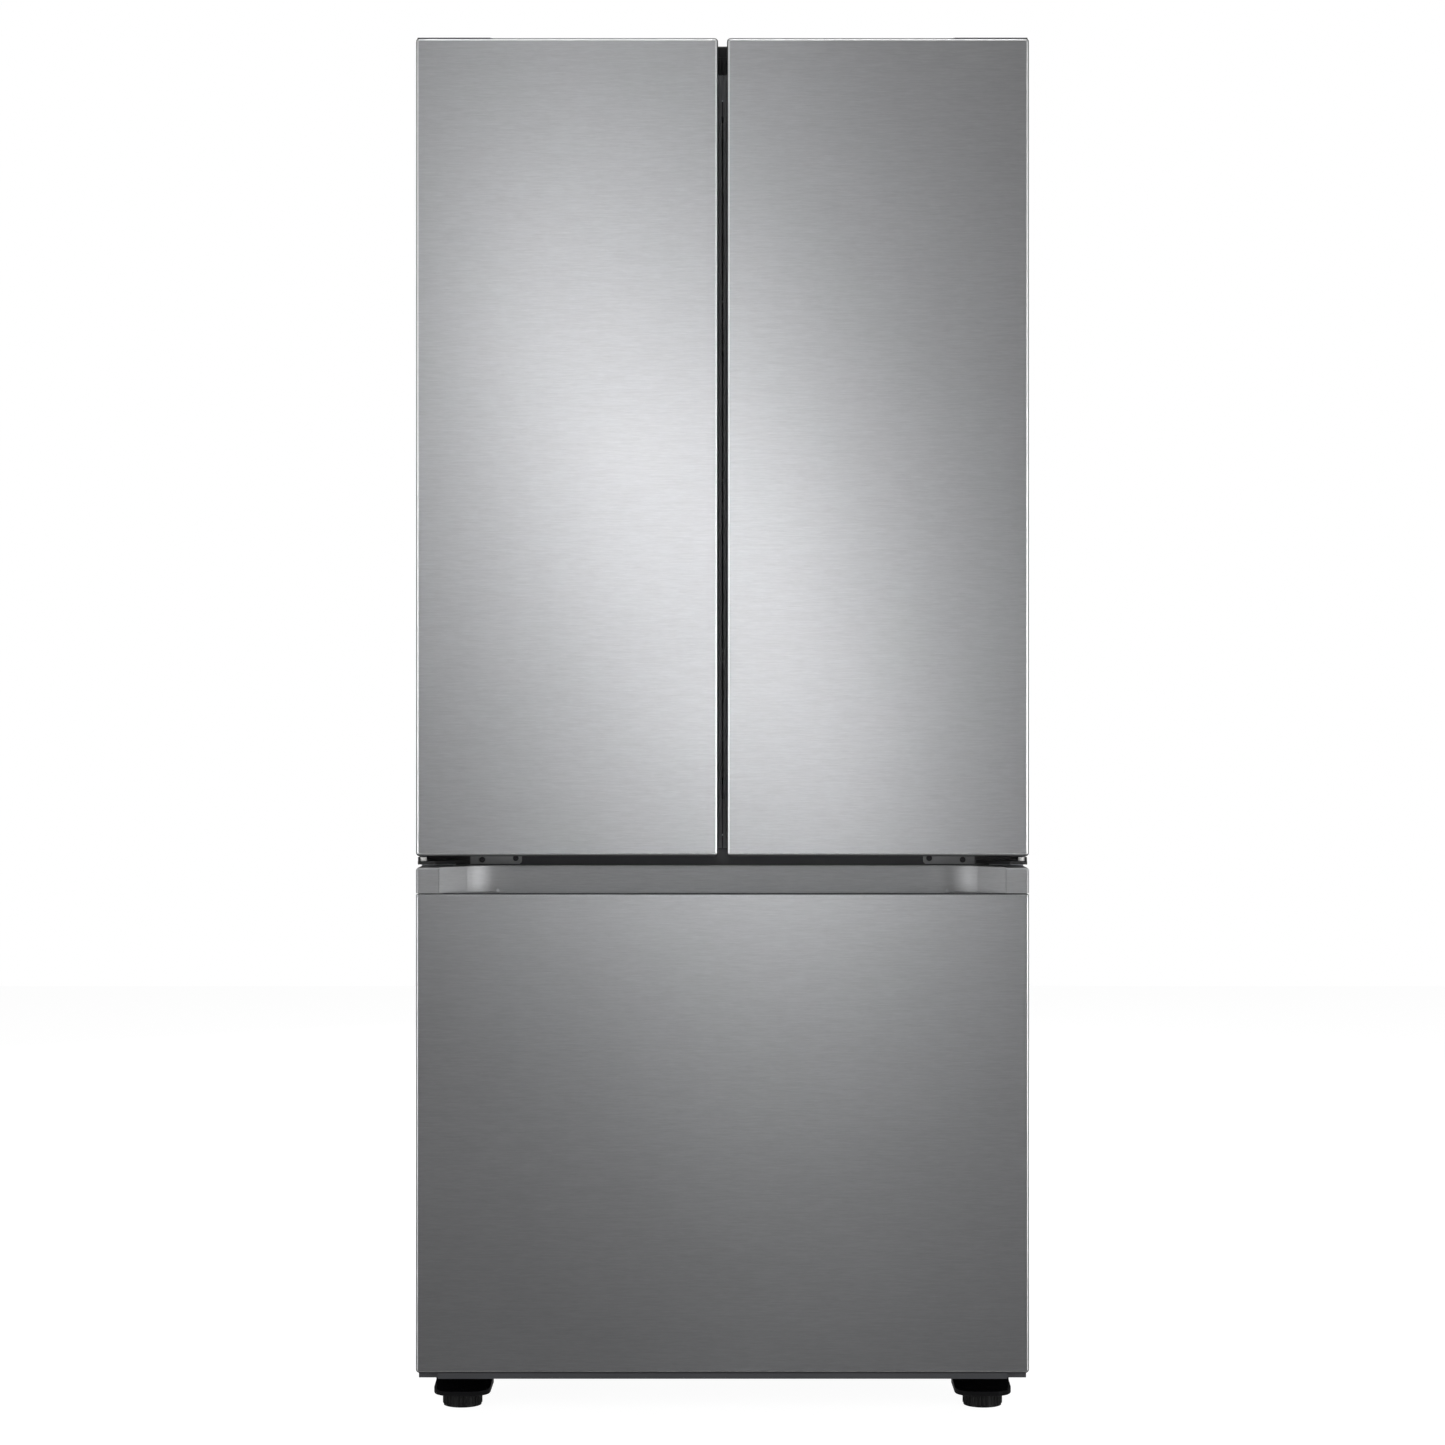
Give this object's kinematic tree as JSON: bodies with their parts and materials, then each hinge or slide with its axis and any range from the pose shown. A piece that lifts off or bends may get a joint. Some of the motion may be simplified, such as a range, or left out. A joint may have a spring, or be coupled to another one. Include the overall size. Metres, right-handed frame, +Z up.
{
  "type": "french door refrigerator",
  "caption": "Stainless-fronted french door refrigerator with twin hinged upper doors, a folding mullion, pull-out crispers and a bottom freezer drawer on telescopic slides.",
  "frame": {"origin": "on the floor under the centre of the bounding box", "axes": "-Y is the front with the doors, +X is to the right seen from the front, +Z is up"},
  "size_m": [0.756, 0.85, 1.717],
  "materials": {
    "steel_front": "satin",
    "steel_handle": "satin",
    "cabinet_paint": "satin",
    "dark_rail": "satin",
    "rear_sheet": "satin",
    "black_plastic": "satin",
    "gloss_black": "gloss",
    "dark_plastic": "satin",
    "foot_rubber": "matte",
    "roller_plastic": "matte",
    "white_liner": "satin",
    "white_nylon": "satin",
    "clear_plastic": "gloss",
    "shelf_glass": "gloss",
    "gasket_rubber": "satin",
    "insulation": "matte",
    "zinc_steel": "satin",
    "black_steel": "satin",
    "bright_fins": "satin"
  },
  "bodies": {
    "cabinet": {"cabinet_shell": "cabinet_paint", "top_front_cap": "black_plastic", "back_panel": "rear_sheet", "rear_spacers": "black_plastic", "cabinet_foam": "insulation", "fridge_liner": "white_liner", "freezer_liner": "white_liner", "front_rails": "dark_rail", "top_hinges": "black_steel", "hinge_covers": "black_plastic", "middle_hinges": "zinc_steel", "hinge_collars": "white_nylon", "hinge_screws": "black_steel", "base_frame": "black_steel", "leg_housings": "gloss_black", "compressor": "black_steel", "condenser": "black_steel", "fan_mount": "black_plastic", "machine_cover": "black_plastic", "shelf_glass": "shelf_glass", "shelf_frames": "white_liner", "shelf_tracks": "zinc_steel", "fridge_duct": "white_liner", "ceiling_panel": "white_liner", "mullion_guides": "dark_plastic", "freezer_duct": "white_liner", "evaporator": "bright_fins", "rail_outer": "zinc_steel"},
    "door_left": {"door_skin_left": "steel_front", "door_caps_left": "dark_plastic", "door_foam_left": "insulation", "door_liner_left": "white_liner", "door_gasket_left": "gasket_rubber", "door_bins_left": "clear_plastic", "mullion_brackets": "zinc_steel"},
    "door_right": {"door_skin_right": "steel_front", "door_caps_right": "dark_plastic", "door_foam_right": "insulation", "door_liner_right": "white_liner", "door_gasket_right": "gasket_rubber", "door_bins_right": "clear_plastic"},
    "mullion_bar": {"mullion": "dark_plastic"},
    "freezer_drawer": {"drawer_skin": "steel_front", "handle_trim": "steel_handle", "drawer_cap": "dark_plastic", "drawer_foam": "insulation", "drawer_liner": "white_liner", "drawer_gasket": "gasket_rubber", "freezer_basket": "clear_plastic", "rail_inner": "zinc_steel"},
    "drawer_slides": {"rail_middle": "zinc_steel"},
    "freezer_tray": {"upper_tray": "clear_plastic"},
    "crisper_drawer_left": {"crisper_left": "clear_plastic"},
    "crisper_drawer_right": {"crisper_right": "clear_plastic"},
    "foot_left": {"levelling_foot_left": "foot_rubber"},
    "foot_right": {"levelling_foot_right": "foot_rubber"},
    "roller_left": {"rear_roller_left": "roller_plastic"},
    "roller_right": {"rear_roller_right": "roller_plastic"},
    "condenser_rotor": {"condenser_fan": "dark_plastic"},
    "evaporator_rotor": {"evaporator_fan": "dark_plastic"}
  },
  "joints": [
    {"name": "door_left_hinge", "type": "hinge", "parent": "cabinet", "child": "door_left", "pos_m": [-0.3715, -0.395, 1.2], "axis": [0, 0, -1], "range_deg": [0, 130]},
    {"name": "door_right_hinge", "type": "hinge", "parent": "cabinet", "child": "door_right", "pos_m": [0.3715, -0.395, 1.2], "axis": [0, 0, 1], "range_deg": [0, 130]},
    {"name": "mullion_flip", "type": "hinge", "parent": "door_left", "child": "mullion_bar", "pos_m": [-0.024, -0.3377, 1.19], "axis": [0, 0, -1], "range_deg": [0, 90]},
    {"name": "freezer_drawer_slide", "type": "slide", "parent": "cabinet", "child": "freezer_drawer", "axis": [0, -1, 0], "range_m": [0, 0.42]},
    {"name": "drawer_slides_travel", "type": "slide", "parent": "cabinet", "child": "drawer_slides", "axis": [0, -1, 0], "range_m": [0, 0.21]},
    {"name": "freezer_tray_slide", "type": "slide", "parent": "freezer_drawer", "child": "freezer_tray", "axis": [0, 1, 0], "range_m": [0, 0.2]},
    {"name": "crisper_left_slide", "type": "slide", "parent": "cabinet", "child": "crisper_drawer_left", "axis": [0, -1, 0], "range_m": [0, 0.25]},
    {"name": "crisper_right_slide", "type": "slide", "parent": "cabinet", "child": "crisper_drawer_right", "axis": [0, -1, 0], "range_m": [0, 0.25]},
    {"name": "foot_left_turn", "type": "hinge", "parent": "cabinet", "child": "foot_left", "pos_m": [-0.328, -0.329, 0.02], "axis": [0, 0, 1], "continuous": true},
    {"name": "foot_right_turn", "type": "hinge", "parent": "cabinet", "child": "foot_right", "pos_m": [0.328, -0.329, 0.02], "axis": [0, 0, 1], "continuous": true},
    {"name": "roller_left_spin", "type": "hinge", "parent": "cabinet", "child": "roller_left", "pos_m": [-0.33, 0.34, 0.022], "axis": [1, 0, 0], "continuous": true},
    {"name": "roller_right_spin", "type": "hinge", "parent": "cabinet", "child": "roller_right", "pos_m": [0.33, 0.34, 0.022], "axis": [1, 0, 0], "continuous": true},
    {"name": "condenser_fan_spin", "type": "hinge", "parent": "cabinet", "child": "condenser_rotor", "pos_m": [0, 0.28, 0.17], "axis": [0, 1, 0], "continuous": true},
    {"name": "evaporator_fan_spin", "type": "hinge", "parent": "cabinet", "child": "evaporator_rotor", "pos_m": [0, 0.294, 0.56], "axis": [0, 1, 0], "continuous": true}
  ],
  "couplings": [
    {"joint": "drawer_slides_travel", "follows": "freezer_drawer_slide", "ratio": 0.5},
    {"joint": "crisper_left_slide", "follows": "door_left_hinge", "m_per_rad": 0.11},
    {"joint": "crisper_right_slide", "follows": "door_right_hinge", "m_per_rad": 0.11}
  ]
}
